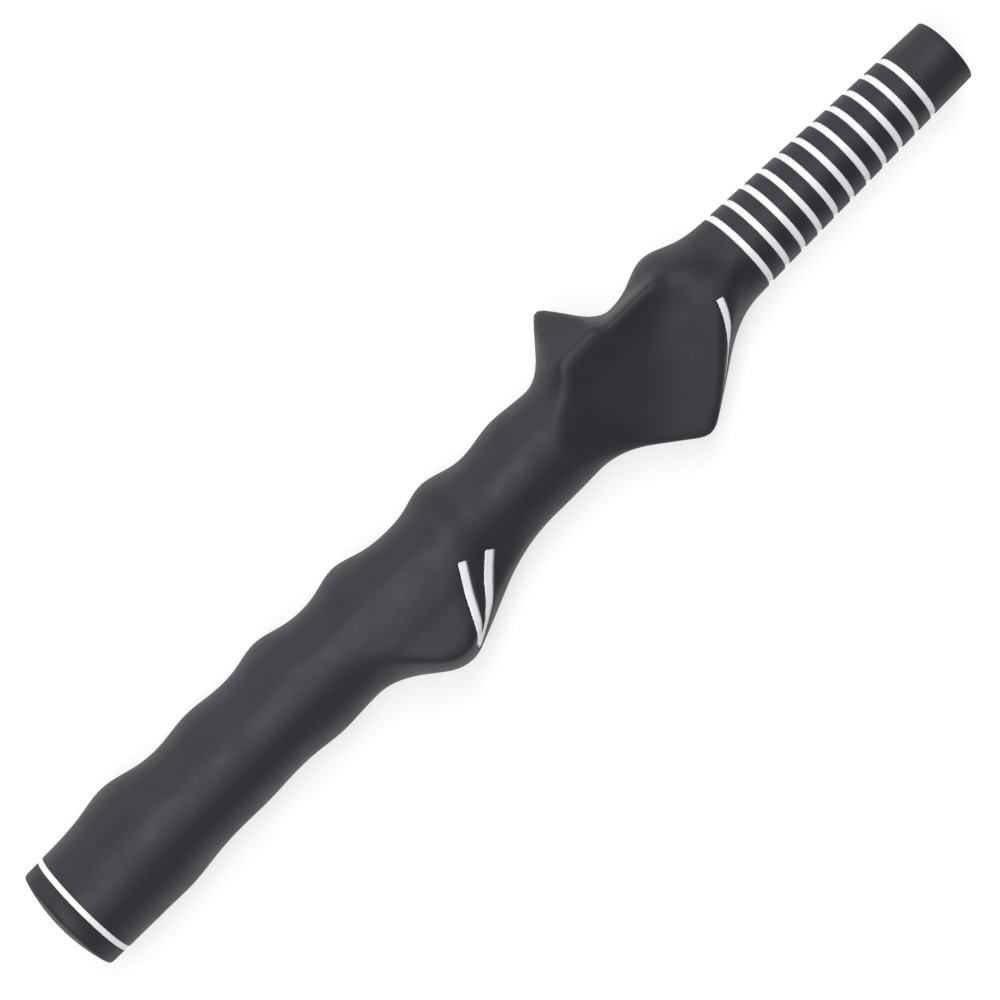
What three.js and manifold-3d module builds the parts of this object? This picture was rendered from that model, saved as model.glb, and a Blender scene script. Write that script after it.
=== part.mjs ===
// A golf training grip: a moulded rubber sleeve that is pushed over the butt end of a club shaft.
// The sleeve has ridges between the fingers, a flare for each thumb, a trigger hook for the right
// forefinger, and grooves filled with white enamel that show where the hands and thumbs go.
// While it is modelled, X runs along the bore from the butt to the mouth, +Y is the side that the
// fingertips hold, and +Z is the side that faces up when the grip lies on a table. An angle round
// the bore starts at +Z and grows towards +Y. Lengths are in millimetres, angles in degrees.
import * as THREE from 'three';
import { mergeVertices } from 'three/addons/utils/BufferGeometryUtils.js';
import Module from 'manifold-3d';

// Driving dimensions
const LENGTH = 269.3;
const BORE_MOUTH_RADIUS = 4.57;
const BORE_BUTT_RADIUS = 7.3;
const GAP = 0.3;

// Butt end: a domed cap, then a white ring in the joint, then the sleeve
const CAP_RADIUS = 13.2;
const CAP_CORNER = 2.75;
const CAP_END = 6.25;
const DOME_EDGE_RADIUS = 12.5;
const DOME_HEIGHT = 1.95;
const VENT_RADIUS = 1.5;
const PLUG_END = 16;
const SLEEVE_START = CAP_END + GAP;
const BUTT_RING_WIDTH = 1.2;
const SLEEVE_FACE = SLEEVE_START + BUTT_RING_WIDTH + GAP;

// Painted grooves at the mouth end
const RING_COUNT = 11;
const FIRST_RING = 206.55;
const RING_PITCH = 5.075;
const RING_WIDTH = 1.55;

// White fills, measured down from the rubber's surface
const FILL_TOP = 0.45;
const FILL_BOTTOM = 1.1;
const GROOVE_DEPTH = FILL_BOTTOM + GAP;

// Distance from the bore's axis to the plain tube, on each of its four sides: [x, distance]
const FINGER_SIDE = [
  [16, 13.3], [41, 12.35], [61, 12.4], [84, 11.7], [108, 11.0], [132, 10.55], [150, 11.1],
  [180, 10.6], [203, 10.4], [237, 9.0], [LENGTH, 7.9],
];
const THUMB_SIDE = [
  [16, 13.3], [38, 12.2], [61, 11.9], [84, 12.6], [108, 11.7], [122, 11.8], [135, 12.1],
  [150, 12.1], [180, 10.8], [201, 9.7], [237, 8.95], [LENGTH, 8.4],
];
const FRONT_SIDE = [
  [16, 13.2], [38, 12.6], [61, 12.3], [84, 12.2], [108, 12.3], [132, 11.6], [150, 11.5],
  [180, 10.9], [192, 11.8], [202, 9.9], [237, 8.9], [LENGTH, 8.05],
];
const BACK_SIDE = [
  [16, 13.2], [38, 12.4], [61, 12.1], [84, 12.0], [108, 11.8], [132, 11.6], [150, 11.5],
  [180, 11.0], [202, 9.9], [237, 8.9], [LENGTH, 8.05],
];

// Ridges between the fingers: place along the bore, height, half width
const LEFT_HAND_RIDGES = [[27, 2.8, 5.6], [50.5, 1.5, 5.0], [72, 2.5, 4.6], [95.2, 2.9, 4.6]];
const LEFT_HAND_AIM = 150;
const FOREFINGER_RIDGE = { x: 121.4, height: 2.35, halfWidth: 4.4, aim: 110, sweep: 4.0, taper: 1.0 };
const RIGHT_HAND_RIDGES = [[141, 1.15, 4.8], [189.8, 3.5, 5.0]];
const RIGHT_HAND_AIM = 100;

// Raised forms. Each is bounded by flats and by a cone at its butt and mouth ends.
// A flat lies at a distance from the axis at x, which shrinks by slope per millimetre, and faces
// the angle turn. An end has the radius that its cone has at x, and the cone's slope. corner and
// edge are the rounding where the ends meet and where the flats meet, and fillet is the rounding
// where the form meets the tube. The form is whole within reach[0] of aim and gone by reach[1].
const LEFT_THUMB_FLARE = {
  flats: [
    { x: 105, distance: 12.3, slope: 0, turn: -5 },
    { x: 116.2, distance: 12.57, slope: 0.335, turn: -16.9 },
    { x: 105, distance: 12.2, slope: 0, turn: -140 },
  ],
  butt: { x: 95.5, radius: 18.4, slope: 0.78 },
  mouth: { x: 112, radius: 18.9, slope: 0.42 },
  corner: 5.5, edge: 2.0, fillet: 4.0, aim: -75, reach: [40, 85],
};
const RIGHT_THUMB_FLARE = {
  flats: [
    { x: 190.4, distance: 13.3, slope: 0.75, turn: -72 },
    { x: 175, distance: 11.5, slope: 0, turn: -160 },
  ],
  butt: { x: 168, radius: 19.8, slope: 0.74 },
  mouth: { x: 177, radius: 23.0, slope: 0.57 },
  corner: 4.0, edge: 4.5, fillet: 5.0, aim: -90, reach: [60, 100],
};
const FOREFINGER_SHELF = {
  flats: [
    { x: 175, distance: 10.8, slope: 0, turn: 85 },
    { x: 175, distance: 13.8, slope: 0, turn: 60 },
  ],
  butt: { x: 162, radius: 14.0, slope: 0.8 },
  mouth: { x: 186, radius: 16.0, slope: 0.8 },
  corner: 3.0, edge: 1.5, fillet: 1.5, aim: 45, reach: [30, 55],
};
const TRIGGER_HOOK = {
  flats: [
    { x: 165, distance: 16.2, slope: 0, turn: 45 },
    { x: 165, distance: 14.5, slope: 0, turn: 140 },
  ],
  butt: { x: 162.8, radius: 19.8, slope: 1.15 },
  mouth: { x: 168, radius: 19.6, slope: 1.4 },
  corner: 3.5, edge: 1.5, fillet: 4.5, aim: 85, reach: [40, 75],
};
const RAISED_FORMS = [LEFT_THUMB_FLARE, RIGHT_THUMB_FLARE, FOREFINGER_SHELF, TRIGGER_HOOK];

// The right thumb's pad is cut across everything. It faces PAD_TURN, runs out in a curve at its
// butt end, and is dished upwards towards the fingers and towards the fold over the flare.
const PAD_DISTANCE = 7.6;
const PAD_TURN = -23;
const PAD_BUTT_END = 163;
const PAD_BUTT_CURVE = 0.03;
const DISH_FINGER_CURVE = 0.012;
const DISH_FOLD_CURVE = 0.02;
const DISH_FOLD_REACH = 10;
const DISH_FOLD_TURN = 45;
const DISH_MIDDLE = 175;
const PAD_ROUNDING = [[140, 4.0], [163, 3.0], [173, 1.8], [185, 2.2], [195, 3.5], [210, 3.5]];

// Painted V marks: each arm runs from its open end to the point, as [x, y, z] along its middle
const LEFT_V_ARMS = [
  { width: 1.7, path: [[115.7, -5.1, 12.1], [111.4, -12.6, 10.8], [106.4, -19.8, 7.2]] },
  { width: 2.1, path: [[121.8, -7.5, 10.2], [115.4, -13.4, 8.6], [106.4, -19.8, 5.4]] },
];
const RIGHT_V_ARMS = [
  { width: 1.4, path: [[194.6, -3.2, 8.5], [189.6, -12.2, 5.2], [180.8, -20.4, -1.6]] },
  { width: 1.4, path: [[194.8, -9.7, -2.6], [189.6, -13.6, -3.6], [180.8, -20.4, -2.4]] },
];

// Fineness of the meshes
const SLEEVE_SIDES = 36;
const RING_SIDES = 24;
const CAP_SIDES = 36;
const ARM_STEPS = 8;
const SLEEVE_STEPS = [[85, 3], [130, 2.2], [150, 3.2], [202, 1.9]];

const radians = THREE.MathUtils.degToRad;
const { clamp, lerp, smoothstep } = THREE.MathUtils;

const smoothMax = (a, b, rounding) => {
  const near = Math.max(rounding - Math.abs(a - b), 0) / rounding;
  return Math.max(a, b) + near * near * rounding / 4;
};
const smoothMin = (a, b, rounding) => -smoothMax(-a, -b, rounding);

// A smooth curve through [x, value] points
function through(points, x) {
  const last = points.length - 1;
  const i = clamp(points.findIndex((point) => point[0] > x) - 1, 0, last - 1);
  const at = x >= points[last][0] ? last - 1 : i;
  const tangent = (k) => {
    const before = points[Math.max(k - 1, 0)];
    const after = points[Math.min(k + 1, last)];
    return (after[1] - before[1]) / (after[0] - before[0]);
  };
  const [x0, v0] = points[at];
  const [x1, v1] = points[at + 1];
  const t = clamp((x - x0) / (x1 - x0), 0, 1);
  const span = (x1 - x0) * t * (1 - t);
  const ease = t * t * (3 - 2 * t);
  return lerp(v0, v1, ease) + span * ((1 - t) * tangent(at) - t * tangent(at + 1));
}

function tubeRadius(x, angle) {
  const across = Math.sin(angle);
  const up = Math.cos(angle);
  const side = through(across > 0 ? FINGER_SIDE : THUMB_SIDE, x);
  const face = through(up > 0 ? FRONT_SIDE : BACK_SIDE, x);
  return 1 / Math.hypot(across / side, up / face);
}

const bell = (distance, halfWidth) => Math.exp(-((distance / halfWidth) ** 2) / 2);
const facing = (angle, aim) => (1 + Math.cos(angle - radians(aim))) / 2;

function ridgeHeight(x, angle) {
  let height = 0;
  for (const [place, rise, halfWidth] of LEFT_HAND_RIDGES) {
    height += rise * facing(angle, LEFT_HAND_AIM) * bell(x - place, halfWidth);
  }
  for (const [place, rise, halfWidth] of RIGHT_HAND_RIDGES) {
    height += rise * facing(angle, RIGHT_HAND_AIM) ** 1.5 * bell(x - place, halfWidth);
  }
  const ridge = FOREFINGER_RIDGE;
  const place = ridge.x - ridge.sweep * Math.cos(angle);
  const halfWidth = ridge.halfWidth - ridge.taper * Math.cos(angle);
  return height + ridge.height * facing(angle, ridge.aim) * bell(x - place, halfWidth);
}

const FAR = 45;
const LEAST_COSINE = 0.02;

// Radius at which a ray from the axis meets a flat, or FAR if it never does
function flatRadius(flat, x, angle) {
  const cosine = Math.cos(angle - radians(flat.turn));
  if (cosine < LEAST_COSINE) return FAR;
  return clamp((flat.distance - flat.slope * (x - flat.x)) / cosine, -FAR / 2, FAR);
}

function formRadius(form, x, angle) {
  const rise = form.butt.radius + form.butt.slope * (x - form.butt.x);
  const fall = form.mouth.radius - form.mouth.slope * (x - form.mouth.x);
  return form.flats.reduce(
    (radius, flat) => smoothMin(radius, flatRadius(flat, x, angle), form.edge),
    smoothMin(rise, fall, form.corner),
  );
}

function padRadius(x, angle) {
  const pastButt = Math.max(PAD_BUTT_END - x, 0);
  const distance = PAD_DISTANCE + PAD_BUTT_CURVE * pastButt ** 2;
  const flat = { x, distance, slope: 0, turn: PAD_TURN };
  const upFingerSide = flatRadius(flat, x, angle) * Math.sin(angle);
  const turn = radians(DISH_FOLD_TURN);
  const upFoldSide = (x - DISH_MIDDLE) * Math.cos(turn) - upFingerSide * Math.sin(turn);
  const curved = clamp(upFoldSide, 0, DISH_FOLD_REACH);
  const straight = clamp(upFoldSide - DISH_FOLD_REACH, 0, DISH_FOLD_REACH);
  const fingerRise = DISH_FINGER_CURVE * clamp(upFingerSide, 0, 8) ** 2;
  const foldRise = DISH_FOLD_CURVE * curved * (curved + 2 * straight);
  return flatRadius({ ...flat, distance: distance + fingerRise + foldRise }, x, angle);
}

// Radius of the sleeve's outer surface before any groove is cut
function outerRadius(x, angle) {
  let radius = tubeRadius(x, angle) + ridgeHeight(x, angle);
  for (const form of RAISED_FORMS) {
    const turn = THREE.MathUtils.euclideanModulo(angle - radians(form.aim) + Math.PI, 2 * Math.PI);
    const away = THREE.MathUtils.radToDeg(Math.abs(turn - Math.PI));
    const share = 1 - smoothstep(away, form.reach[0], form.reach[1]);
    const raised = smoothMax(radius, formRadius(form, x, angle), form.fillet);
    radius = lerp(radius, raised, share);
  }
  return smoothMin(radius, padRadius(x, angle), through(PAD_ROUNDING, x));
}

const onAxisFrame = (x, radius, angle) =>
  new THREE.Vector3(x, radius * Math.sin(angle), radius * Math.cos(angle));

// Mesh from a grid of rows of points: each row is a loop, and so is the order of the rows,
// unless it is capped, when the first and last rows are closed by flat ends.
function gridGeometry(rows, capped = false) {
  const across = rows[0].length;
  const positions = rows.flat().flatMap((point) => [point.x, point.y, point.z]);
  const indices = [];
  const stretches = capped ? rows.length - 1 : rows.length;
  for (let i = 0; i < stretches; i += 1) {
    const row = i * across;
    const next = ((i + 1) % rows.length) * across;
    for (let j = 0; j < across; j += 1) {
      const k = (j + 1) % across;
      indices.push(row + j, next + j, next + k, row + j, next + k, row + k);
    }
  }
  if (capped) {
    const last = (rows.length - 1) * across;
    for (let j = 1; j < across - 1; j += 1) {
      indices.push(0, j, j + 1, last, last + j + 1, last + j);
    }
  }
  const geometry = new THREE.BufferGeometry();
  geometry.setAttribute('position', new THREE.Float32BufferAttribute(positions, 3));
  geometry.setIndex(indices);
  return geometry;
}

// A loop of points round the bore at x, with the radius that radiusAt gives at each angle
function loopAt(x, sides, radiusAt) {
  return Array.from({ length: sides }, (_, i) => {
    const angle = (2 * Math.PI * i) / sides;
    return onAxisFrame(x, radiusAt(x, angle), angle);
  });
}

const ringPlace = (index) => FIRST_RING + index * RING_PITCH;
const boreRadius = (x) => (
  THREE.MathUtils.mapLinear(x, SLEEVE_START, LENGTH, BORE_BUTT_RADIUS, BORE_MOUTH_RADIUS)
);
const below = (depth) => (x, angle) => outerRadius(x, angle) - depth;

function makeSleeve() {
  const rows = [];
  const addRow = (x, radiusAt) => rows.push(loopAt(x, SLEEVE_SIDES, radiusAt));
  addRow(SLEEVE_START, below(GROOVE_DEPTH));
  addRow(SLEEVE_FACE, below(GROOVE_DEPTH));
  let x = SLEEVE_FACE;
  for (const [end, step] of SLEEVE_STEPS) {
    const count = Math.round((end - x) / step);
    const start = x;
    for (let i = 0; i < count; i += 1) addRow(lerp(start, end, i / count), outerRadius);
    x = end;
  }
  for (let i = 0; i < RING_COUNT; i += 1) {
    const butt = ringPlace(i) - RING_WIDTH / 2 - GAP;
    const mouth = ringPlace(i) + RING_WIDTH / 2 + GAP;
    addRow(butt, outerRadius);
    addRow(butt, below(GROOVE_DEPTH));
    addRow(mouth, below(GROOVE_DEPTH));
    addRow(mouth, outerRadius);
  }
  addRow(LENGTH, outerRadius);
  addRow(LENGTH, boreRadius);
  addRow(SLEEVE_START, boreRadius);
  return gridGeometry(rows);
}

// One arm of a V: a bar that follows the rubber's surface between two depths
function makeArm({ width, path }, top, bottom, spread) {
  const curve = new THREE.CatmullRomCurve3(path.map((point) => new THREE.Vector3(...point)));
  const rows = [];
  for (let i = 0; i <= ARM_STEPS; i += 1) {
    const middle = curve.getPoint(i / ARM_STEPS);
    const along = curve.getTangent(i / ARM_STEPS);
    const outward = new THREE.Vector3(0, middle.y, middle.z).normalize();
    const sideways = new THREE.Vector3().crossVectors(outward, along).normalize();
    const end = i === 0 ? -spread : i === ARM_STEPS ? spread : 0;
    middle.addScaledVector(along, end);
    const corner = (side, depth) => {
      const point = middle.clone().addScaledVector(sideways, side * (width / 2 + spread));
      const angle = Math.atan2(point.y, point.z);
      return onAxisFrame(point.x, outerRadius(point.x, angle) - depth, angle);
    };
    rows.push([corner(-1, bottom), corner(-1, top), corner(1, top), corner(1, bottom)]);
  }
  return gridGeometry(rows, true);
}

const wasm = await Module();
wasm.setup();

function toSolid(geometry) {
  const merged = mergeVertices(geometry);
  return new wasm.Manifold(new wasm.Mesh({
    numProp: 3,
    vertProperties: new Float32Array(merged.attributes.position.array),
    triVerts: new Uint32Array(merged.index.array),
  }));
}

function toGeometry(solid) {
  const { vertProperties, triVerts } = solid.getMesh();
  const geometry = new THREE.BufferGeometry();
  geometry.setAttribute('position', new THREE.BufferAttribute(vertProperties, 3));
  geometry.setIndex(new THREE.BufferAttribute(triVerts, 1));
  return geometry;
}

const joinArms = (arms, top, bottom, spread) => arms
  .map((arm) => toSolid(makeArm(arm, top, bottom, spread)))
  .reduce((whole, arm) => whole.add(arm));

function cutVGrooves(geometry) {
  return [LEFT_V_ARMS, RIGHT_V_ARMS].reduce(
    (solid, arms) => solid.subtract(joinArms(arms, -1, GROOVE_DEPTH, GAP)),
    toSolid(geometry),
  );
}

const makeVMark = (arms) => toGeometry(joinArms(arms, FILL_TOP, FILL_BOTTOM, 0));

function makeRingMark(butt, mouth) {
  return gridGeometry([
    loopAt(butt, RING_SIDES, below(FILL_BOTTOM)),
    loopAt(butt, RING_SIDES, below(FILL_TOP)),
    loopAt(mouth, RING_SIDES, below(FILL_TOP)),
    loopAt(mouth, RING_SIDES, below(FILL_BOTTOM)),
  ]);
}

// Cap: the dome, the rim and the plug in the sleeve, turned about the bore's axis round the vent
function makeCap() {
  const plugRadius = boreRadius(PLUG_END) - GAP;
  const domeRadius = (DOME_EDGE_RADIUS ** 2 + DOME_HEIGHT ** 2) / (2 * DOME_HEIGHT);
  const domeSteps = 6;
  const profile = [[VENT_RADIUS, PLUG_END], [plugRadius, PLUG_END], [plugRadius, CAP_END]];
  profile.push([CAP_RADIUS, CAP_END], [CAP_RADIUS, CAP_CORNER], [CAP_RADIUS - 0.4, CAP_CORNER - 0.6]);
  for (let i = 0; i <= domeSteps; i += 1) {
    const radius = lerp(DOME_EDGE_RADIUS, VENT_RADIUS, i / domeSteps);
    profile.push([radius, domeRadius - Math.sqrt(domeRadius ** 2 - radius ** 2)]);
  }
  const rows = profile.map(([radius, x]) => loopAt(x, CAP_SIDES, () => radius));
  return gridGeometry(rows.reverse());
}

const rubber = new THREE.MeshStandardMaterial({ color: 0x24262b, roughness: 0.62, metalness: 0 });
const capRubber = new THREE.MeshStandardMaterial({ color: 0x2a2c31, roughness: 0.5, metalness: 0 });
const enamel = new THREE.MeshStandardMaterial({ color: 0xf2f2ee, roughness: 0.45, metalness: 0 });

const grip = new THREE.Group();
function addPiece(name, geometry, material) {
  const mesh = new THREE.Mesh(geometry, material);
  mesh.name = name;
  grip.add(mesh);
}

addPiece('grip_sleeve', toGeometry(cutVGrooves(makeSleeve())), rubber);
addPiece('butt_cap', makeCap(), capRubber);
addPiece('butt_ring_mark', makeRingMark(SLEEVE_START, SLEEVE_START + BUTT_RING_WIDTH), enamel);
for (let i = 0; i < RING_COUNT; i += 1) {
  const name = `ring_mark_${String(i + 1).padStart(2, '0')}`;
  const middle = ringPlace(i);
  addPiece(name, makeRingMark(middle - RING_WIDTH / 2, middle + RING_WIDTH / 2), enamel);
}
addPiece('left_v_mark', makeVMark(LEFT_V_ARMS), enamel);
addPiece('right_v_mark', makeVMark(RIGHT_V_ARMS), enamel);

// Stand the grip on the ground plane, with the middle of its box over the origin
const box = new THREE.Box3().setFromObject(grip);
const centre = box.getCenter(new THREE.Vector3());
grip.position.set(-centre.x, -centre.y, -box.min.z);

export default grip;
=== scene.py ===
"""A moulded-rubber golf training grip with painted grooves, lying on a pale table in soft light.

The fine rubber surface repeats the forms of the CAD sleeve, in millimetres along and round the
bore: x runs from the butt to the mouth, and an angle starts at +Z and grows towards +Y. The places
of the bore, the cap and the painted rings come from the frame.
"""
import math

import bpy
import numpy as np
from mathutils import Matrix, Vector


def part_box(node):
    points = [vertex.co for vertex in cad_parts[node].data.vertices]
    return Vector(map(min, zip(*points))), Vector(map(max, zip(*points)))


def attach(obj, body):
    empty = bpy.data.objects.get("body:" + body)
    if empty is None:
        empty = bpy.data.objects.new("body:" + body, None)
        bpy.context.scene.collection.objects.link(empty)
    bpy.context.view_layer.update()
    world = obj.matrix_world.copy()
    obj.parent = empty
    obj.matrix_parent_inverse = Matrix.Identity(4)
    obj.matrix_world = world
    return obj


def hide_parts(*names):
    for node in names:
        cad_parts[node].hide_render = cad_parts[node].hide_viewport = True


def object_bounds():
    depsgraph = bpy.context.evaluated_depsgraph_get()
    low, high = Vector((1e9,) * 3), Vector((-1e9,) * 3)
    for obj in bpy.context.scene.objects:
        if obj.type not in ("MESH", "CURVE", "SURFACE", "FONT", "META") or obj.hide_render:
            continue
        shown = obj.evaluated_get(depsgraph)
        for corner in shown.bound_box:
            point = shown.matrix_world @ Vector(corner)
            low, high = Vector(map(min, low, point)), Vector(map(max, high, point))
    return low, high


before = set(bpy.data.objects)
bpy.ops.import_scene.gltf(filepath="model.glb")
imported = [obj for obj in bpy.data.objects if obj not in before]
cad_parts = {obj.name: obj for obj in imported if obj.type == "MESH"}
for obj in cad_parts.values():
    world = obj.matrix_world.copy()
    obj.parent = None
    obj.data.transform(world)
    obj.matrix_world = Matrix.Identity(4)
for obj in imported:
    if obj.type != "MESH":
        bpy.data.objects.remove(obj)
cad_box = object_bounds()

MM = 0.001
BODY = "root"

# Places from the frame ----------------------------------------------------------------------

cap_low, cap_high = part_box("butt_cap")
sleeve_low, sleeve_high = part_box("grip_sleeve")
ring_names = sorted(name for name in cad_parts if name.startswith("ring_mark_"))

LENGTH = 269.3
BUTT_JOINT_CLOSED = 0.25
AXIS_Y = (cap_low.y + cap_high.y) / 2
AXIS_Z = (cap_low.z + cap_high.z) / 2
BUTT_X = sleeve_high.x - LENGTH * MM


def along(position):
    """Millimetres from the butt of a place given in metres in the frame."""
    return (position - BUTT_X) / MM


def node_span(node):
    """Where a node starts and ends along the bore, in millimetres from the butt."""
    low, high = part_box(node)
    return along(low.x), along(high.x)


ring_spans = [node_span(name) for name in ring_names]
ring_places = [(start + end) / 2 for start, end in ring_spans]
RING_WIDTH = ring_spans[0][1] - ring_spans[0][0]
butt_ring_start, butt_ring_end = node_span("butt_ring_mark")
butt_ring_end -= BUTT_JOINT_CLOSED
CAP_RADIUS = (cap_high.z - cap_low.z) / 2 / MM
PLUG_END = along(cap_high.x)
CAP_END = 6.25

# Rubber surface, the same forms as the CAD sleeve -------------------------------------------

BORE_MOUTH_RADIUS = 4.57
BORE_BUTT_RADIUS = 7.3

# Distance from the bore's axis to the plain tube on each side: (x, distance)
FINGER_SIDE = (
    (16, 13.3), (41, 12.35), (61, 12.4), (84, 11.7), (108, 11.0), (132, 10.55), (150, 11.1),
    (180, 10.6), (203, 10.4), (237, 9.0), (LENGTH, 7.9),
)
THUMB_SIDE = (
    (16, 13.3), (38, 12.2), (61, 11.9), (84, 12.6), (108, 11.7), (122, 11.8), (135, 12.1),
    (150, 12.1), (180, 10.8), (201, 9.7), (237, 8.95), (LENGTH, 8.4),
)
FRONT_SIDE = (
    (16, 13.2), (38, 12.6), (61, 12.3), (84, 12.2), (108, 12.3), (132, 11.6), (150, 11.5),
    (180, 10.9), (192, 11.8), (202, 9.9), (237, 8.9), (LENGTH, 8.05),
)
BACK_SIDE = (
    (16, 13.2), (38, 12.4), (61, 12.1), (84, 12.0), (108, 11.8), (132, 11.6), (150, 11.5),
    (180, 11.0), (202, 9.9), (237, 8.9), (LENGTH, 8.05),
)

# Ridges between the fingers: (place, height, half width)
LEFT_HAND_RIDGES = ((27, 2.8, 5.6), (50.5, 1.5, 5.0), (72, 2.5, 4.6), (95.2, 2.9, 4.6))
LEFT_HAND_AIM = 150
FOREFINGER_RIDGE = dict(x=121.4, height=2.35, half_width=4.4, aim=110, sweep=4.0, taper=1.0)
RIGHT_HAND_RIDGES = ((141, 1.15, 4.8), (189.8, 3.5, 5.0))
RIGHT_HAND_AIM = 100

# Flats are (x, distance from the axis there, slope, direction they face); ends are (x, radius, slope)
LEFT_THUMB_FLARE = dict(
    flats=((105, 12.3, 0, -5), (116.2, 12.57, 0.335, -16.9), (105, 12.2, 0, -140)),
    butt=(95.5, 18.4, 0.78), mouth=(112, 18.9, 0.42),
    corner=5.5, edge=2.0, fillet=4.0, aim=-75, reach=(40, 85),
)
RIGHT_THUMB_FLARE = dict(
    flats=((190.4, 13.3, 0.75, -72), (175, 11.5, 0, -160)),
    butt=(168, 19.8, 0.74), mouth=(177, 23.0, 0.57),
    corner=4.0, edge=4.5, fillet=5.0, aim=-90, reach=(60, 100),
)
FOREFINGER_SHELF = dict(
    flats=((175, 10.8, 0, 85), (175, 13.8, 0, 60)),
    butt=(162, 14.0, 0.8), mouth=(186, 16.0, 0.8),
    corner=3.0, edge=1.5, fillet=1.5, aim=45, reach=(30, 55),
)
TRIGGER_HOOK = dict(
    flats=((165, 16.2, 0, 45), (165, 14.5, 0, 140)),
    butt=(162.8, 19.8, 1.15), mouth=(168, 19.6, 1.4),
    corner=3.5, edge=1.5, fillet=4.5, aim=85, reach=(40, 75),
)
RAISED_FORMS = (LEFT_THUMB_FLARE, RIGHT_THUMB_FLARE, FOREFINGER_SHELF, TRIGGER_HOOK)

# The right thumb's pad is cut across everything. It faces PAD_TURN, runs out in a curve at its
# butt end, and is dished upwards towards the fingers and towards the fold over the flare.
PAD_DISTANCE = 7.6
PAD_TURN = -23
PAD_BUTT_END = 163
PAD_BUTT_CURVE = 0.03
DISH_FINGER_CURVE = 0.012
DISH_FOLD_CURVE = 0.02
DISH_FOLD_REACH = 10
DISH_FOLD_TURN = 45
DISH_MIDDLE = 175
PAD_ROUNDING = ((140, 4.0), (163, 3.0), (173, 1.8), (185, 2.2), (195, 3.5), (210, 3.5))
FAR = 45
LEAST_COSINE = 0.02

# Painted V marks: arms from the open end to the point, (x, y, z) from the butt and the bore's axis
LEFT_V_ARMS = (
    (1.7, ((115.7, -5.1, 12.1), (111.4, -12.6, 10.8), (106.4, -19.8, 7.2))),
    (2.1, ((121.8, -7.5, 10.2), (115.4, -13.4, 8.6), (106.4, -19.8, 5.4))),
)
RIGHT_V_ARMS = (
    (1.4, ((194.6, -3.2, 8.5), (189.6, -12.2, 5.2), (180.8, -20.4, -1.6))),
    (1.4, ((194.8, -9.7, -2.6), (189.6, -13.6, -3.6), (180.8, -20.4, -2.4))),
)

# Grooves and paint
GROOVE_DEPTH = 0.95
RING_PAINT_DEPTH = 0.35
V_PAINT_DEPTH = 0.12
BUTT_PAINT_DEPTH = 0.15
GROOVE_EDGE = 0.14


def smooth_max(a, b, rounding):
    near = np.clip(rounding - np.abs(a - b), 0, None) / rounding
    return np.maximum(a, b) + near * near * rounding / 4


def smooth_min(a, b, rounding):
    return -smooth_max(-a, -b, rounding)


def ease(t):
    t = np.clip(t, 0, 1)
    return t * t * (3 - 2 * t)


def through(points, x):
    """A smooth curve through (x, value) points."""
    places, values = np.array(points, float).T
    last = len(places) - 1
    before = np.maximum(np.arange(last + 1) - 1, 0)
    after = np.minimum(np.arange(last + 1) + 1, last)
    tangents = (values[after] - values[before]) / (places[after] - places[before])
    i = np.clip(np.searchsorted(places, x, side="right") - 1, 0, last - 1)
    width = places[i + 1] - places[i]
    t = np.clip((x - places[i]) / width, 0, 1)
    bulge = width * t * (1 - t) * ((1 - t) * tangents[i] - t * tangents[i + 1])
    return values[i] + (values[i + 1] - values[i]) * ease(t) + bulge


def tube_radius(x, angle):
    across, up = np.sin(angle), np.cos(angle)
    side = np.where(across > 0, through(FINGER_SIDE, x), through(THUMB_SIDE, x))
    face = np.where(up > 0, through(FRONT_SIDE, x), through(BACK_SIDE, x))
    return 1 / np.hypot(across / side, up / face)


def bell(distance, half_width):
    return np.exp(-((distance / half_width) ** 2) / 2)


def facing(angle, aim):
    return (1 + np.cos(angle - math.radians(aim))) / 2


def ridge_height(x, angle):
    height = 0 * x * angle
    for place, rise, half_width in LEFT_HAND_RIDGES:
        height = height + rise * facing(angle, LEFT_HAND_AIM) * bell(x - place, half_width)
    for place, rise, half_width in RIGHT_HAND_RIDGES:
        height = height + rise * facing(angle, RIGHT_HAND_AIM) ** 1.5 * bell(x - place, half_width)
    ridge = FOREFINGER_RIDGE
    place = ridge["x"] - ridge["sweep"] * np.cos(angle)
    half_width = ridge["half_width"] - ridge["taper"] * np.cos(angle)
    return height + ridge["height"] * facing(angle, ridge["aim"]) * bell(x - place, half_width)


def flat_radius(flat, x, angle):
    place, distance, slope, turn = flat
    cosine = np.cos(angle - math.radians(turn))
    radius = (distance - slope * (x - place)) / np.maximum(cosine, LEAST_COSINE)
    return np.where(cosine < LEAST_COSINE, FAR, np.clip(radius, -FAR / 2, FAR))


def form_radius(form, x, angle):
    butt, mouth = form["butt"], form["mouth"]
    rise = butt[1] + butt[2] * (x - butt[0])
    fall = mouth[1] - mouth[2] * (x - mouth[0])
    radius = smooth_min(rise, fall, form["corner"])
    for flat in form["flats"]:
        radius = smooth_min(radius, flat_radius(flat, x, angle), form["edge"])
    return radius


def pad_radius(x, angle):
    past_butt = np.clip(PAD_BUTT_END - x, 0, None)
    distance = PAD_DISTANCE + PAD_BUTT_CURVE * past_butt**2
    up_finger_side = flat_radius((0, distance, 0, PAD_TURN), x, angle) * np.sin(angle)
    turn = math.radians(DISH_FOLD_TURN)
    up_fold_side = (x - DISH_MIDDLE) * math.cos(turn) - up_finger_side * math.sin(turn)
    distance = distance + DISH_FINGER_CURVE * np.clip(up_finger_side, 0, 8) ** 2
    curved = np.clip(up_fold_side, 0, DISH_FOLD_REACH)
    straight = np.clip(up_fold_side - DISH_FOLD_REACH, 0, DISH_FOLD_REACH)
    distance = distance + DISH_FOLD_CURVE * curved * (curved + 2 * straight)
    return flat_radius((0, distance, 0, PAD_TURN), x, angle)


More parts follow.
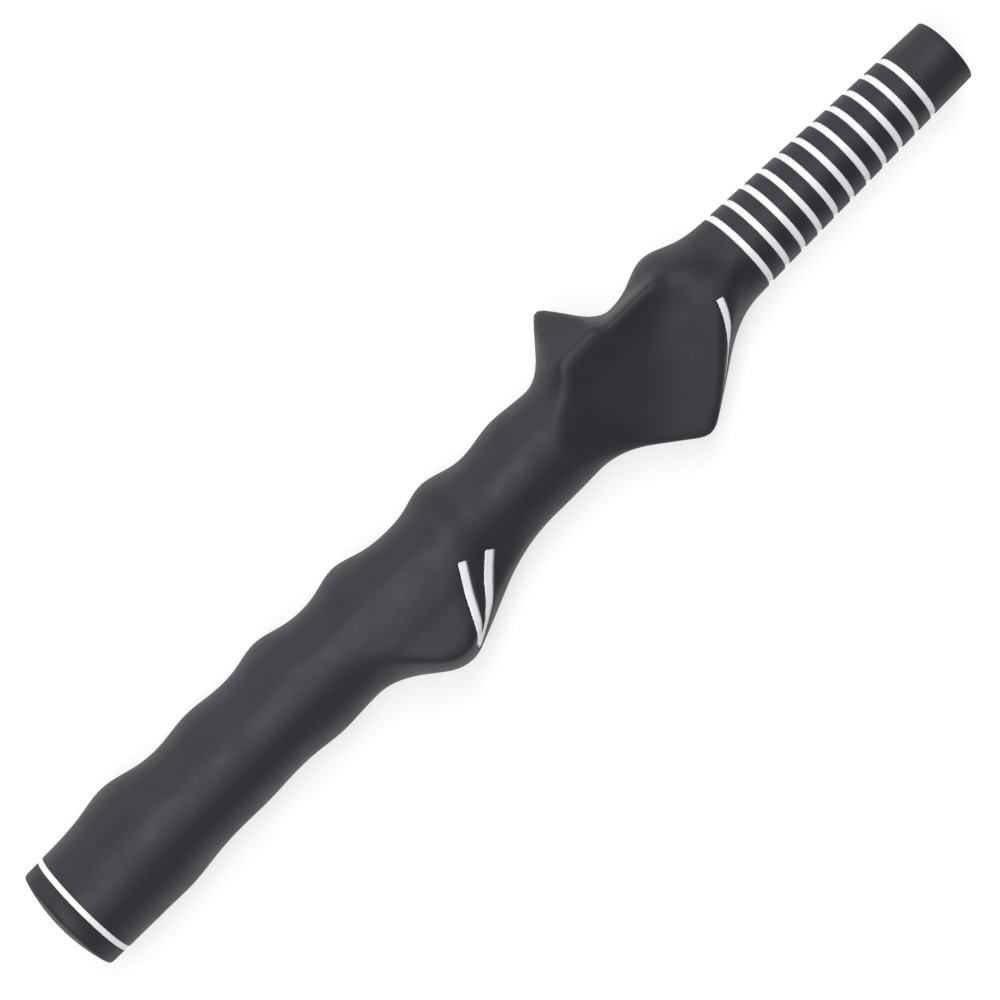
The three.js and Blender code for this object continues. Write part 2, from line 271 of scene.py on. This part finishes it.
def outer_radius(x, angle):
    """Radius of the sleeve's outer surface before any groove is cut."""
    x, angle = np.broadcast_arrays(np.asarray(x, float), np.asarray(angle, float))
    radius = tube_radius(x, angle) + ridge_height(x, angle)
    for form in RAISED_FORMS:
        turn = (angle - math.radians(form["aim"]) + math.pi) % math.tau
        away = np.degrees(np.abs(turn - math.pi))
        near, far = form["reach"]
        raised = smooth_max(radius, form_radius(form, x, angle), form["fillet"])
        radius = radius + (raised - radius) * (1 - ease((away - near) / (far - near)))
    return smooth_min(radius, pad_radius(x, angle), through(PAD_ROUNDING, x))


def bore_radius(x):
    share = (x - CAP_END) / (LENGTH - CAP_END)
    return BORE_BUTT_RADIUS + (BORE_MOUTH_RADIUS - BORE_BUTT_RADIUS) * share


# Mesh helpers -------------------------------------------------------------------------------

def to_frame(x, radius, angle):
    """Points in metres in the frame, from millimetres along the bore and an angle round it."""
    x, radius, angle = np.broadcast_arrays(x, radius, angle)
    return np.stack(
        [
            BUTT_X + x * MM,
            AXIS_Y + radius * np.sin(angle) * MM,
            AXIS_Z + radius * np.cos(angle) * MM,
        ],
        axis=-1,
    )


def grid_object(name, points, closed_rows=True):
    """A smooth mesh from points[row, place round the loop]; the rows close on themselves or are capped."""
    rows, around = points.shape[:2]
    stretches = rows if closed_rows else rows - 1
    i, j = np.meshgrid(np.arange(stretches), np.arange(around), indexing="ij")
    following, beside = (i + 1) % rows, (j + 1) % around
    quads = np.stack(
        [i * around + j, following * around + j, following * around + beside, i * around + beside],
        axis=-1,
    )
    faces = quads.reshape(-1, 4).tolist()
    if not closed_rows:
        faces.append(list(range(around)))
        faces.append([(rows - 1) * around + k for k in reversed(range(around))])
    mesh = bpy.data.meshes.new(name)
    mesh.from_pydata(points.reshape(-1, 3).tolist(), [], faces)
    mesh.polygons.foreach_set("use_smooth", [True] * len(mesh.polygons))
    mesh.update()
    piece = bpy.data.objects.new(name, mesh)
    bpy.context.scene.collection.objects.link(piece)
    return piece


def finish_piece(piece, material, slot, *nodes):
    """Gives a piece its material, and lets it ride the grip in place of its CAD nodes."""
    piece.data.materials.append(material)
    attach(piece, BODY)
    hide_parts(*nodes)


# Materials ----------------------------------------------------------------------------------

def new_material(name):
    material = bpy.data.materials.new(name)
    material.use_nodes = True
    tree = material.node_tree
    return material, tree, tree.nodes["Principled BSDF"]


def noise(tree, scale, detail, roughness=0.5, stretch=(1, 1, 1)):
    """A noise texture in the object's own metres, stretched along its axes."""
    place = tree.nodes.new("ShaderNodeTexCoord")
    scaling = tree.nodes.new("ShaderNodeMapping")
    scaling.inputs["Scale"].default_value = stretch
    texture = tree.nodes.new("ShaderNodeTexNoise")
    texture.inputs["Scale"].default_value = scale
    texture.inputs["Detail"].default_value = detail
    texture.inputs["Roughness"].default_value = roughness
    tree.links.new(place.outputs["Object"], scaling.inputs["Vector"])
    tree.links.new(scaling.outputs["Vector"], texture.inputs["Vector"])
    return texture.outputs["Fac"]


def ramp(tree, value, stops):
    """A colour ramp through (position, colour) stops, where a colour may be one grey number."""
    node = tree.nodes.new("ShaderNodeValToRGB")
    elements = node.color_ramp.elements
    while len(elements) < len(stops):
        elements.new(0.5)
    for element, (position, colour) in zip(elements, stops):
        rgb = colour if isinstance(colour, tuple) else (colour,) * 3
        element.position = position
        element.color = (*rgb, 1)
    tree.links.new(value, node.inputs["Fac"])
    return node.outputs["Color"]


def bump(tree, shader, heights):
    """Chains bumps onto a shader: (height socket, strength, distance in metres) each."""
    normal = None
    for height, strength, distance in heights:
        node = tree.nodes.new("ShaderNodeBump")
        node.inputs["Strength"].default_value = strength
        node.inputs["Distance"].default_value = distance
        tree.links.new(height, node.inputs["Height"])
        if normal is not None:
            tree.links.new(normal, node.inputs["Normal"])
        normal = node.outputs["Normal"]
    tree.links.new(normal, shader.inputs["Normal"])


def make_rubber(name, dark, light, smooth, rough, grain):
    """Moulded rubber: a fine grain, broad handling marks, and slightly uneven colour and gloss."""
    material, tree, shader = new_material(name)
    shader.inputs["Specular IOR Level"].default_value = 0.5
    marks = noise(tree, 55, 4, 0.6, (0.5, 1, 1))
    tree.links.new(ramp(tree, marks, ((0.3, dark), (0.7, light))), shader.inputs["Base Color"])
    wear = noise(tree, 160, 5, 0.65)
    tree.links.new(ramp(tree, wear, ((0.3, smooth), (0.7, rough))), shader.inputs["Roughness"])
    bump(tree, shader, (
        (noise(tree, 60, 3, 0.5, (0.4, 1, 1)), 0.25, 0.0006),
        (noise(tree, 2600, 3, 0.6), grain, 0.00012),
    ))
    return material


def make_enamel():
    """White paint that settled in the grooves, with soft unevenness and a few dusty spots."""
    material, tree, shader = new_material("white_enamel")
    shader.inputs["Roughness"].default_value = 0.42
    dust = noise(tree, 900, 4, 0.7)
    colours = ((0.28, (0.75, 0.76, 0.78)), (0.40, (0.92, 0.93, 0.95)), (0.7, (0.96, 0.97, 0.99)))
    tree.links.new(ramp(tree, dust, colours), shader.inputs["Base Color"])
    bump(tree, shader, ((noise(tree, 700, 3, 0.6), 0.35, 0.00015),))
    return material


sleeve_rubber = make_rubber(
    "sleeve_rubber", (0.0150, 0.0165, 0.0225), (0.0200, 0.0215, 0.0290), 0.50, 0.62, 0.22
)
cap_rubber = make_rubber(
    "cap_rubber", (0.0150, 0.0165, 0.0225), (0.0200, 0.0215, 0.0290), 0.55, 0.68, 0.25
)
white_enamel = make_enamel()

# Sleeve -------------------------------------------------------------------------------------

PLAIN_STEP = 1.15
V_STEP = 0.36
V_STRETCHES = ((104.0, 124.5), (178.5, 197.5))
V_ANGLES = (-116, -8)
V_ANGLE_STEP = 0.9
PLAIN_ANGLE_STEP = 2.7
MOUTH_FILLET = 0.3
SLEEVE_BUTT = CAP_END + 0.05


def sleeve_angles():
    """Angles round the sleeve, closer together where the V marks are."""
    first, last = V_ANGLES
    fine = np.arange(first, last, V_ANGLE_STEP)
    plain = np.linspace(last, first + 360, round((360 - last + first) / PLAIN_ANGLE_STEP) + 1)[:-1]
    return np.radians(np.concatenate([fine, plain]))


def groove_rows(middle, width):
    """Rows that follow the rounded edges of a ring groove."""
    edges = [middle + side * width / 2 for side in (-1, 1)]
    steps = (-1.6, -1, -0.5, 0, 0.5, 1, 1.6)
    return [edge + step * GROOVE_EDGE for edge in edges for step in steps]


def sleeve_rows():
    """Places along the sleeve, closer together at the V marks and at the grooves' edges."""
    rows = set()
    for start, end in ((butt_ring_end + 0.6, V_STRETCHES[0][0]), (V_STRETCHES[0][1], V_STRETCHES[1][0]),
                       (V_STRETCHES[1][1], ring_places[0] - RING_WIDTH)):
        rows.update(np.linspace(start, end, round((end - start) / PLAIN_STEP) + 1).round(4))
    for start, end in V_STRETCHES:
        rows.update(np.linspace(start, end, round((end - start) / V_STEP) + 1).round(4))
    for place in ring_places:
        rows.update(np.round(groove_rows(place, RING_WIDTH), 4))
        rows.update(np.round([place, place + RING_WIDTH * 1.15, place + RING_WIDTH * 1.6], 4))
    end = LENGTH - MOUTH_FILLET
    rows.update(np.linspace(ring_places[-1] + 2.5 * RING_WIDTH, end, 9).round(4))
    return np.array(sorted(rows))


def inside(distance):
    """1 inside a groove and 0 outside it, from the distance past its edge."""
    return 1 - ease((distance + GROOVE_EDGE) / (2 * GROOVE_EDGE))


def ring_groove_share(x):
    share = inside(np.abs(x - (butt_ring_start + butt_ring_end) / 2) - (butt_ring_end - butt_ring_start) / 2)
    share = np.where(x < butt_ring_end - GROOVE_EDGE, 1, share)
    for place in ring_places:
        share = np.maximum(share, inside(np.abs(x - place) - RING_WIDTH / 2))
    return share


def arm_points(path, count, reach=1.0):
    """Points on the rubber along one arm of a V, from a smooth curve through its three places."""
    start, middle, end = np.array(path, float)
    t = np.linspace(0, reach, count)[:, None]
    pull = 2 * middle - (start + end) / 2
    line = (1 - t) ** 2 * start + 2 * t * (1 - t) * pull + t**2 * end
    angle = np.arctan2(line[:, 1], line[:, 2])
    radius = outer_radius(line[:, 0], angle)
    return np.stack([line[:, 0], radius * np.sin(angle), radius * np.cos(angle)], axis=-1)


def v_groove_share(x, angle, radius):
    """1 in the V grooves and 0 away from them, with square open ends."""
    share = np.zeros_like(radius)
    points = np.stack([x, radius * np.sin(angle), radius * np.cos(angle)], axis=-1)
    for width, path in LEFT_V_ARMS + RIGHT_V_ARMS:
        arm = arm_points(path, 160)
        near = np.flatnonzero(np.abs(x.ravel() - arm[:, 0].mean()) < np.ptp(arm[:, 0]) / 2 + 3)
        close = points.reshape(-1, 3)[near]
        gaps = np.linalg.norm(close[:, None, :] - arm[None, :, :], axis=-1)
        past_side = gaps.min(axis=1) - width / 2
        outward = arm[0] - arm[6]
        past_end = (close - arm[0]) @ (outward / np.linalg.norm(outward))
        flat = share.ravel()
        flat[near] = np.maximum(flat[near], inside(np.maximum(past_side, past_end)))
        share = flat.reshape(share.shape)
    return share


def make_sleeve():
    angles = sleeve_angles()
    rows = sleeve_rows()
    x, angle = np.meshgrid(rows, angles, indexing="ij")
    radius = outer_radius(x, angle)
    share = np.maximum(ring_groove_share(x), v_groove_share(x, angle, radius))
    outside = to_frame(x, radius - GROOVE_DEPTH * share, angle)

    def loop(place, radius_there):
        return to_frame(place, radius_there + 0 * angles, angles)[None]

    butt = outer_radius(SLEEVE_BUTT, angles)
    start = [
        loop(SLEEVE_BUTT, bore_radius(SLEEVE_BUTT)),
        loop(SLEEVE_BUTT, butt - GROOVE_DEPTH),
        loop(butt_ring_end - GROOVE_EDGE, butt - GROOVE_DEPTH),
        loop(butt_ring_end + 0.02, butt - GROOVE_DEPTH + 0.1),
        loop(butt_ring_end + 0.04, butt - 0.2),
        loop(butt_ring_end + 0.14, butt - 0.05),
        loop(butt_ring_end + 0.3, butt),
    ]
    mouth = outer_radius(LENGTH, angles)
    fillet = []
    for turn in (30, 60, 90):
        bend = math.radians(turn)
        place = LENGTH - MOUTH_FILLET * (1 - math.sin(bend))
        fillet.append(loop(place, mouth - MOUTH_FILLET * (1 - math.cos(bend))))
    end = [
        loop(LENGTH, mouth - 1.2),
        loop(LENGTH, BORE_MOUTH_RADIUS + 0.9),
        loop(LENGTH, BORE_MOUTH_RADIUS + 0.4),
        loop(LENGTH - 0.12, BORE_MOUTH_RADIUS + 0.12),
        loop(LENGTH - 0.4, bore_radius(LENGTH)),
    ]
    inner = [loop(place, bore_radius(place)) for place in np.linspace(LENGTH - 6, SLEEVE_BUTT + 2, 9)]
    return grid_object("sleeve", np.concatenate([*start, outside, *fillet, *end, *inner]))


# Paint --------------------------------------------------------------------------------------

PAINT_BASE = 0.85
PAINT_TUCK = 0.12
PAINT_DISH = 0.07
PAINT_SIDES = 180


def make_ring_paint(name, start, end, depth, tuck):
    """A band of paint in a ring groove, dished a little as it dried."""
    angles = np.radians(np.arange(0, 360, 360 / PAINT_SIDES))
    middle = (start + end) / 2
    section = ((start - tuck, PAINT_BASE), (start - tuck, depth), (start + 0.2, depth),
               (middle, depth + PAINT_DISH), (end - 0.2, depth),
               (end + PAINT_TUCK, depth), (end + PAINT_TUCK, PAINT_BASE))
    rings = [to_frame(x, outer_radius(middle, angles) - below, angles) for x, below in section]
    return grid_object(name, np.stack(rings))


def make_v_paint(name, arms):
    """Paint along both arms of a V, joined where they meet."""
    pieces = []
    for index, (width, path) in enumerate(arms):
        line = arm_points(path, 60, 1.04)
        tangent = np.gradient(line, axis=0)
        outward = line * (0, 1, 1)
        sideways = np.cross(outward, tangent)
        sideways /= np.linalg.norm(sideways, axis=1, keepdims=True)
        half = width / 2 + PAINT_TUCK
        section = ((-1, PAINT_BASE), (-1, V_PAINT_DEPTH), (-0.4, V_PAINT_DEPTH + PAINT_DISH),
                   (0.4, V_PAINT_DEPTH + PAINT_DISH), (1, V_PAINT_DEPTH), (1, PAINT_BASE))
        strands = []
        for side, depth in section:
            point = line + side * half * sideways
            angle = np.arctan2(point[:, 1], point[:, 2])
            strands.append(to_frame(point[:, 0], outer_radius(point[:, 0], angle) - depth, angle))
        pieces.append(grid_object(f"{name}_{index}", np.stack(strands, axis=1), closed_rows=False))
    with bpy.context.temp_override(active_object=pieces[0], selected_editable_objects=pieces):
        bpy.ops.object.join()
    pieces[0].name = name
    return pieces[0]


# Cap ----------------------------------------------------------------------------------------

CAP_CORNER = 2.75
DOME_EDGE_RADIUS = 12.5
DOME_HEIGHT = 1.95
VENT_RADIUS = 1.5
CAP_SIDES = 192


def make_cap():
    """The rim band, a rolled edge, the dome, the vent hole and the plug inside the sleeve."""
    dome_radius = (DOME_EDGE_RADIUS**2 + DOME_HEIGHT**2) / (2 * DOME_HEIGHT)

    def dome(radius):
        return dome_radius - math.sqrt(dome_radius**2 - radius**2)

    plug_radius = bore_radius(PLUG_END) - 0.3
    profile = [(PLUG_END, VENT_RADIUS), (PLUG_END, plug_radius - 0.5), (PLUG_END - 0.5, plug_radius)]
    profile += [(CAP_END, plug_radius + 0.2), (CAP_END, CAP_RADIUS - 0.15), (CAP_END - 0.15, CAP_RADIUS)]
    profile += [(CAP_CORNER + 0.5, CAP_RADIUS), (CAP_CORNER, CAP_RADIUS - 0.03)]
    profile += [(CAP_CORNER - 0.35, CAP_RADIUS - 0.13), (CAP_CORNER - 0.65, CAP_RADIUS - 0.36)]
    radii = np.linspace(DOME_EDGE_RADIUS, VENT_RADIUS + 0.3, 14)
    profile += [(dome(radius), radius) for radius in radii]
    profile += [(dome(VENT_RADIUS) + 0.1, VENT_RADIUS + 0.08), (dome(VENT_RADIUS) + 0.4, VENT_RADIUS)]
    angles = np.radians(np.arange(0, 360, 360 / CAP_SIDES))
    rings = [to_frame(x, radius, angles) for x, radius in reversed(profile)]
    return grid_object("cap", np.stack(rings))


finish_piece(make_sleeve(), sleeve_rubber, "sleeve_rubber", "grip_sleeve")
finish_piece(make_cap(), cap_rubber, "cap_rubber", "butt_cap")
butt_paint = make_ring_paint("butt_ring_paint", CAP_END, butt_ring_end, BUTT_PAINT_DEPTH, 0)
finish_piece(butt_paint, white_enamel, "white_enamel", "butt_ring_mark")
for number, (node, place) in enumerate(zip(ring_names, ring_places), 1):
    start, end = place - RING_WIDTH / 2, place + RING_WIDTH / 2
    paint = make_ring_paint(f"ring_paint_{number:02d}", start, end, RING_PAINT_DEPTH, PAINT_TUCK)
    finish_piece(paint, white_enamel, "white_enamel", node)
finish_piece(make_v_paint("left_v_paint", LEFT_V_ARMS), white_enamel, "white_enamel", "left_v_mark")
finish_piece(make_v_paint("right_v_paint", RIGHT_V_ARMS), white_enamel, "white_enamel", "right_v_mark")

# Table, light and camera --------------------------------------------------------------------

FLOOR_SIZE = 6.0
FLOOR_DROP = 0.0002
FLOOR_GREY = 0.5
FLOOR_GLOW = 0.62
WORLD_STRENGTH = 0.14
# Lights that face the object: name, place and size in metres, watts
SOFTBOXES = (
    ("softbox_above", (-0.10, 0.13, 1.25), (1.5, 0.42), 12.5),
    ("softbox_finger_side", (0.0, 1.5, 0.75), (2.2, 1.0), 10),
    ("card_butt_side", (-0.62, -0.50, 0.95), (0.5, 0.5), 1.4),
)


def make_floor():
    bpy.ops.mesh.primitive_plane_add(size=FLOOR_SIZE, location=(0, 0, cad_box[0][2] - FLOOR_DROP))
    floor = bpy.context.active_object
    floor.name = "table"
    material, _, shader = new_material("pale_table")
    shader.inputs["Base Color"].default_value = (FLOOR_GREY,) * 3 + (1,)
    shader.inputs["Roughness"].default_value = 0.9
    shader.inputs["Specular IOR Level"].default_value = 0.1
    shader.inputs["Emission Color"].default_value = (1, 1, 1, 1)
    shader.inputs["Emission Strength"].default_value = FLOOR_GLOW
    floor.data.materials.append(material)


def add_softbox(name, place, aim, size, watts):
    """A rectangular area light at place, facing aim."""
    data = bpy.data.lights.new(name, "AREA")
    data.shape = "RECTANGLE"
    data.size, data.size_y = size
    data.energy = watts
    light = bpy.data.objects.new(name, data)
    light.location = place
    direction = Vector(aim) - Vector(place)
    light.rotation_euler = direction.to_track_quat("-Z", "Y").to_euler()
    bpy.context.scene.collection.objects.link(light)


def make_world(strength):
    world = bpy.data.worlds.new("studio")
    world.use_nodes = True
    background = world.node_tree.nodes["Background"]
    background.inputs["Color"].default_value = (1, 1, 1, 1)
    background.inputs["Strength"].default_value = strength
    bpy.context.scene.world = world


# The camera stands over the left-hand end of the grip and looks slightly towards the mouth.
CAMERA_HEIGHT = 0.8
CAMERA_STANDS_OVER = 92.53
CAMERA_LEANS = 2.778
CAMERA_BESIDE_AXIS = -1.447
BORE_CLIMBS = 44.83
LENS = 133.5
SENSOR = 36


def make_camera():
    data = bpy.data.cameras.new("camera")
    data.lens = LENS
    data.sensor_width = SENSOR
    camera = bpy.data.objects.new("camera", data)
    lean, roll = math.radians(CAMERA_LEANS), math.radians(BORE_CLIMBS)
    bore_way = Vector((math.cos(lean), 0, math.sin(lean)))
    thumb_way = Vector((0, -1, 0))
    right = math.cos(roll) * bore_way + math.sin(roll) * thumb_way
    up = math.sin(roll) * bore_way - math.cos(roll) * thumb_way
    back = right.cross(up)
    place = Vector((
        BUTT_X + CAMERA_STANDS_OVER * MM,
        AXIS_Y + CAMERA_BESIDE_AXIS * MM,
        AXIS_Z + CAMERA_HEIGHT,
    ))
    camera.matrix_world = Matrix.Translation(place) @ Matrix((right, up, back)).transposed().to_4x4()
    bpy.context.scene.collection.objects.link(camera)
    bpy.context.scene.camera = camera


make_floor()
make_world(WORLD_STRENGTH)
for name, place, size, watts in SOFTBOXES:
    add_softbox(name, place, (0, 0, 0), size, watts)
make_camera()
bpy.context.scene.view_settings.view_transform = "Standard"
